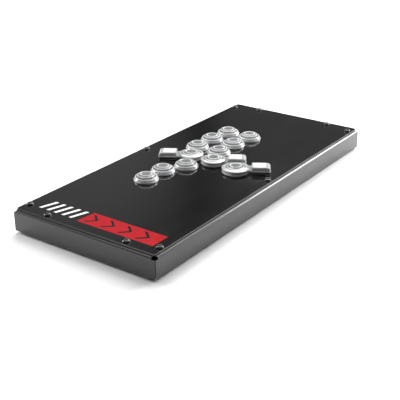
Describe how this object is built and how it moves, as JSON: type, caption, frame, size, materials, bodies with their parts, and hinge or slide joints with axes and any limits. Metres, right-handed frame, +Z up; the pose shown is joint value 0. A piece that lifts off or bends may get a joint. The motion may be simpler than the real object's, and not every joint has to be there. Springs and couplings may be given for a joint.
{
  "type": "all-button arcade controller",
  "caption": "Slim flat arcade control panel: folded black case, gloss top plate, clear domed push buttons, some with raised paddle extensions.",
  "frame": {"origin": "centre of the footprint, on the surface that the controller stands on", "axes": "+X along the long side towards the player's right hand, +Y away from the player, +Z up"},
  "size_m": [0.407, 0.1786, 0.0347],
  "materials": {
    "case": "fine-textured black powder coat",
    "plate": "gloss black with a plain printed band",
    "screw": "black oxide, semi-gloss",
    "bezel": "clear moulded plastic",
    "cap": "clear moulded plastic, polished",
    "switch": "satin",
    "board": "black solder mask",
    "mat": "fine-textured",
    "function_button": "satin",
    "socket": "plated"
  },
  "bodies": {
    "base": {"case_tray": "case", "top_plate": "plate", "base_mat": "mat", "main_board": "board", "control_board": "board", "cable_socket": "socket", "screw_01": "screw", "screw_02": "screw", "screw_03": "screw", "screw_04": "screw", "screw_05": "screw", "screw_06": "screw", "screw_07": "screw", "screw_08": "screw", "screw_09": "screw", "screw_10": "screw", "bezel_left": "bezel", "bezel_down": "bezel", "bezel_right": "bezel", "bezel_action_1": "bezel", "bezel_action_2": "bezel", "bezel_action_3": "bezel", "bezel_action_4": "bezel", "bezel_action_5": "bezel", "bezel_action_6": "bezel", "bezel_action_7": "bezel", "bezel_action_8": "bezel", "bezel_up": "bezel", "switch_left": "switch", "switch_down": "switch", "switch_right": "switch", "switch_action_1": "switch", "switch_action_2": "switch", "switch_action_3": "switch", "switch_action_4": "switch", "switch_action_5": "switch", "switch_action_6": "switch", "switch_action_7": "switch", "switch_action_8": "switch", "switch_up": "switch"},
    "left_cap": {"cap_left": "cap"},
    "down_cap": {"cap_down": "cap"},
    "right_cap": {"cap_right": "cap"},
    "action_1_cap": {"cap_action_1": "cap"},
    "action_2_cap": {"cap_action_2": "cap"},
    "action_3_cap": {"cap_action_3": "cap"},
    "action_4_cap": {"cap_action_4": "cap"},
    "action_5_cap": {"cap_action_5": "cap"},
    "action_6_cap": {"cap_action_6": "cap"},
    "action_7_cap": {"cap_action_7": "cap"},
    "action_8_cap": {"cap_action_8": "cap"},
    "up_cap": {"cap_up": "cap"},
    "select_plunger": {"select_button": "function_button"},
    "start_plunger": {"start_button": "function_button"},
    "home_plunger": {"home_button": "function_button"},
    "lock_plunger": {"lock_button": "function_button"}
  },
  "joints": [
    {"name": "left_press", "type": "slide", "parent": "base", "child": "left_cap", "axis": [0, 0, -1], "range_m": [0, 0.0022], "stiffness_N_per_m": 150, "springref_m": -0.0015},
    {"name": "down_press", "type": "slide", "parent": "base", "child": "down_cap", "axis": [0, 0, -1], "range_m": [0, 0.0022], "stiffness_N_per_m": 150, "springref_m": -0.0015},
    {"name": "right_press", "type": "slide", "parent": "base", "child": "right_cap", "axis": [0, 0, -1], "range_m": [0, 0.0022], "stiffness_N_per_m": 150, "springref_m": -0.0015},
    {"name": "action_1_press", "type": "slide", "parent": "base", "child": "action_1_cap", "axis": [0, 0, -1], "range_m": [0, 0.0022], "stiffness_N_per_m": 150, "springref_m": -0.0015},
    {"name": "action_2_press", "type": "slide", "parent": "base", "child": "action_2_cap", "axis": [0, 0, -1], "range_m": [0, 0.0022], "stiffness_N_per_m": 150, "springref_m": -0.0015},
    {"name": "action_3_press", "type": "slide", "parent": "base", "child": "action_3_cap", "axis": [0, 0, -1], "range_m": [0, 0.0022], "stiffness_N_per_m": 150, "springref_m": -0.0015},
    {"name": "action_4_press", "type": "slide", "parent": "base", "child": "action_4_cap", "axis": [0, 0, -1], "range_m": [0, 0.0022], "stiffness_N_per_m": 150, "springref_m": -0.0015},
    {"name": "action_5_press", "type": "slide", "parent": "base", "child": "action_5_cap", "axis": [0, 0, -1], "range_m": [0, 0.0022], "stiffness_N_per_m": 150, "springref_m": -0.0015},
    {"name": "action_6_press", "type": "slide", "parent": "base", "child": "action_6_cap", "axis": [0, 0, -1], "range_m": [0, 0.0022], "stiffness_N_per_m": 150, "springref_m": -0.0015},
    {"name": "action_7_press", "type": "slide", "parent": "base", "child": "action_7_cap", "axis": [0, 0, -1], "range_m": [0, 0.0022], "stiffness_N_per_m": 150, "springref_m": -0.0015},
    {"name": "action_8_press", "type": "slide", "parent": "base", "child": "action_8_cap", "axis": [0, 0, -1], "range_m": [0, 0.0022], "stiffness_N_per_m": 150, "springref_m": -0.0015},
    {"name": "up_press", "type": "slide", "parent": "base", "child": "up_cap", "axis": [0, 0, -1], "range_m": [0, 0.0022], "stiffness_N_per_m": 150, "springref_m": -0.0015},
    {"name": "select_press", "type": "slide", "parent": "base", "child": "select_plunger", "axis": [0, -1, 0], "range_m": [0, 0.0006], "stiffness_N_per_m": 600, "springref_m": -0.001},
    {"name": "start_press", "type": "slide", "parent": "base", "child": "start_plunger", "axis": [0, -1, 0], "range_m": [0, 0.0006], "stiffness_N_per_m": 600, "springref_m": -0.001},
    {"name": "home_press", "type": "slide", "parent": "base", "child": "home_plunger", "axis": [0, -1, 0], "range_m": [0, 0.0006], "stiffness_N_per_m": 600, "springref_m": -0.001},
    {"name": "lock_press", "type": "slide", "parent": "base", "child": "lock_plunger", "axis": [0, -1, 0], "range_m": [0, 0.0006], "stiffness_N_per_m": 600, "springref_m": -0.001}
  ]
}
